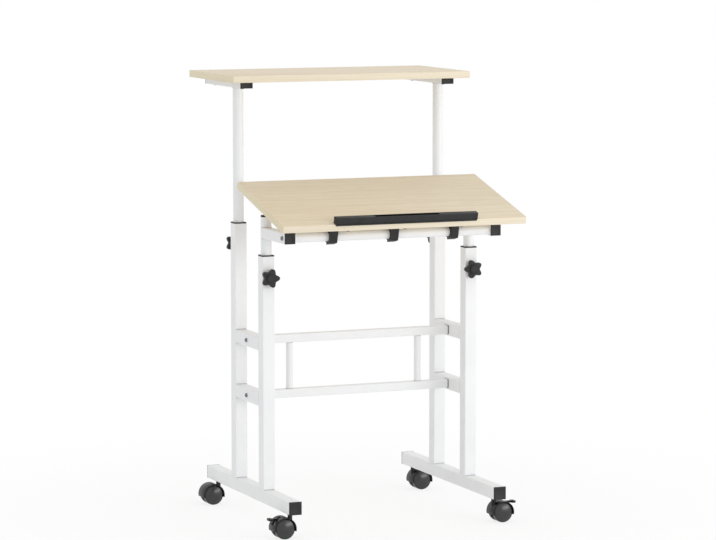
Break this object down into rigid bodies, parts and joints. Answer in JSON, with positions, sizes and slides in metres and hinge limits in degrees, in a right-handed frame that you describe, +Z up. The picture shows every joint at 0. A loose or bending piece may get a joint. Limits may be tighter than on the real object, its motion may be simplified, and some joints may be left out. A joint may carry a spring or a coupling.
{
  "type": "height-adjustable desk",
  "caption": "Mobile sit-stand desk with a tilting desktop and a raised shelf on square-tube side frames, clamped at any height by star knobs, on twin-wheel casters",
  "frame": {"origin": "on the floor, under the middle of the whole desk's box at rest", "axes": "+X to the right as the user faces the desk, +Y from the user to the back, +Z up"},
  "size_m": [0.617, 0.6222, 1.039],
  "materials": {
    "white_powder_coat": "satin white powder coat",
    "zinc_plated_steel": "zinc-plated steel",
    "black_moulding": "fine-textured black moulded plastic",
    "caster_nylon": "black nylon, half gloss",
    "pale_wood_laminate": "pale wood-effect laminate on particle board"
  },
  "bodies": {
    "base": {"left_foot_bar": "white_powder_coat", "right_foot_bar": "white_powder_coat", "foot_end_caps": "black_moulding", "caster_stems": "zinc_plated_steel", "caster_stem_nuts": "zinc_plated_steel", "left_front_leg": "white_powder_coat", "left_rear_leg": "white_powder_coat", "right_front_leg": "white_powder_coat", "right_rear_leg": "white_powder_coat", "leg_collars": "black_moulding", "knob_weld_nuts": "white_powder_coat", "left_side_braces": "white_powder_coat", "right_side_braces": "white_powder_coat", "lower_cross_beam": "white_powder_coat", "upper_cross_beam": "white_powder_coat", "cross_beam_bolts": "zinc_plated_steel", "cross_beam_inserts": "black_moulding", "cross_rods": "white_powder_coat"},
    "shelf_carriage": {"left_rear_tube": "white_powder_coat", "right_rear_tube": "white_powder_coat", "rear_tube_guides": "black_moulding", "left_shelf_arm": "white_powder_coat", "right_shelf_arm": "white_powder_coat", "shelf_arm_caps": "black_moulding", "shelf_panel": "pale_wood_laminate", "shelf_screws": "zinc_plated_steel"},
    "desk_carriage": {"left_front_tube": "white_powder_coat", "right_front_tube": "white_powder_coat", "front_tube_guides": "black_moulding", "left_desk_arm": "white_powder_coat", "right_desk_arm": "white_powder_coat", "desk_arm_caps": "black_moulding", "front_tube_plugs": "black_moulding", "tilt_rail": "white_powder_coat", "tilt_rail_bolts": "zinc_plated_steel", "tilt_rail_inserts": "black_moulding"},
    "desktop": {"desktop_panel": "pale_wood_laminate", "tilt_clips": "black_moulding", "clip_screws": "zinc_plated_steel", "stop_bar": "black_moulding", "stop_bar_screws": "zinc_plated_steel"},
    "left_front_knob": {"left_front_knob": "black_moulding"},
    "left_rear_knob": {"left_rear_knob": "black_moulding"},
    "left_front_caster": {"left_front_caster_hood": "caster_nylon", "left_front_caster_axle": "zinc_plated_steel"},
    "left_front_caster_wheels": {"left_front_caster_wheels": "caster_nylon"},
    "left_rear_caster": {"left_rear_caster_hood": "caster_nylon", "left_rear_caster_axle": "zinc_plated_steel"},
    "left_rear_caster_wheels": {"left_rear_caster_wheels": "caster_nylon"},
    "left_brake_lever": {"left_brake_lever": "caster_nylon"},
    "right_front_knob": {"right_front_knob": "black_moulding"},
    "right_rear_knob": {"right_rear_knob": "black_moulding"},
    "right_front_caster": {"right_front_caster_hood": "caster_nylon", "right_front_caster_axle": "zinc_plated_steel"},
    "right_front_caster_wheels": {"right_front_caster_wheels": "caster_nylon"},
    "right_rear_caster": {"right_rear_caster_hood": "caster_nylon", "right_rear_caster_axle": "zinc_plated_steel"},
    "right_rear_caster_wheels": {"right_rear_caster_wheels": "caster_nylon"},
    "right_brake_lever": {"right_brake_lever": "caster_nylon"}
  },
  "joints": [
    {"name": "shelf_height", "type": "slide", "parent": "base", "child": "shelf_carriage", "axis": [0, 0, 1], "range_m": [-0.31, 0.15]},
    {"name": "desk_height", "type": "slide", "parent": "base", "child": "desk_carriage", "axis": [0, 0, 1], "range_m": [-0.035, 0.3]},
    {"name": "desktop_tilt", "type": "hinge", "parent": "desk_carriage", "child": "desktop", "pos_m": [0, -0.2159, 0.684], "axis": [1, 0, 0], "range_deg": [-15, 45]},
    {"name": "left_front_knob_turn", "type": "hinge", "parent": "base", "child": "left_front_knob", "pos_m": [-0.255, -0.0959, 0.581], "axis": [0, -1, 0], "range_deg": [0, 720]},
    {"name": "left_rear_knob_turn", "type": "hinge", "parent": "base", "child": "left_rear_knob", "pos_m": [-0.255, 0.1141, 0.641], "axis": [0, 1, 0], "range_deg": [0, 720]},
    {"name": "left_front_caster_swivel", "type": "hinge", "parent": "base", "child": "left_front_caster", "pos_m": [-0.255, -0.2264, 0.056], "axis": [0, 0, 1], "continuous": true},
    {"name": "left_front_caster_roll", "type": "hinge", "parent": "left_front_caster", "child": "left_front_caster_wheels", "pos_m": [-0.2725, -0.2264, 0.0235], "axis": [0, 1, 0], "continuous": true},
    {"name": "left_rear_caster_swivel", "type": "hinge", "parent": "base", "child": "left_rear_caster", "pos_m": [-0.255, 0.2446, 0.056], "axis": [0, 0, 1], "continuous": true},
    {"name": "left_rear_caster_roll", "type": "hinge", "parent": "left_rear_caster", "child": "left_rear_caster_wheels", "pos_m": [-0.2725, 0.2446, 0.0235], "axis": [0, 1, 0], "continuous": true},
    {"name": "left_brake", "type": "hinge", "parent": "left_front_caster", "child": "left_brake_lever", "pos_m": [-0.285, -0.2264, 0.0405], "axis": [0, 1, 0], "range_deg": [0, 12]},
    {"name": "right_front_knob_turn", "type": "hinge", "parent": "base", "child": "right_front_knob", "pos_m": [0.255, -0.0959, 0.581], "axis": [0, -1, 0], "range_deg": [0, 720]},
    {"name": "right_rear_knob_turn", "type": "hinge", "parent": "base", "child": "right_rear_knob", "pos_m": [0.255, 0.1141, 0.641], "axis": [0, 1, 0], "range_deg": [0, 720]},
    {"name": "right_front_caster_swivel", "type": "hinge", "parent": "base", "child": "right_front_caster", "pos_m": [0.255, -0.2264, 0.056], "axis": [0, 0, 1], "continuous": true},
    {"name": "right_front_caster_roll", "type": "hinge", "parent": "right_front_caster", "child": "right_front_caster_wheels", "pos_m": [0.2725, -0.2264, 0.0235], "axis": [0, 1, 0], "continuous": true},
    {"name": "right_rear_caster_swivel", "type": "hinge", "parent": "base", "child": "right_rear_caster", "pos_m": [0.255, 0.2446, 0.056], "axis": [0, 0, 1], "continuous": true},
    {"name": "right_rear_caster_roll", "type": "hinge", "parent": "right_rear_caster", "child": "right_rear_caster_wheels", "pos_m": [0.2725, 0.2446, 0.0235], "axis": [0, 1, 0], "continuous": true},
    {"name": "right_brake", "type": "hinge", "parent": "right_front_caster", "child": "right_brake_lever", "pos_m": [0.285, -0.2264, 0.0405], "axis": [0, -1, 0], "range_deg": [0, 12]}
  ]
}
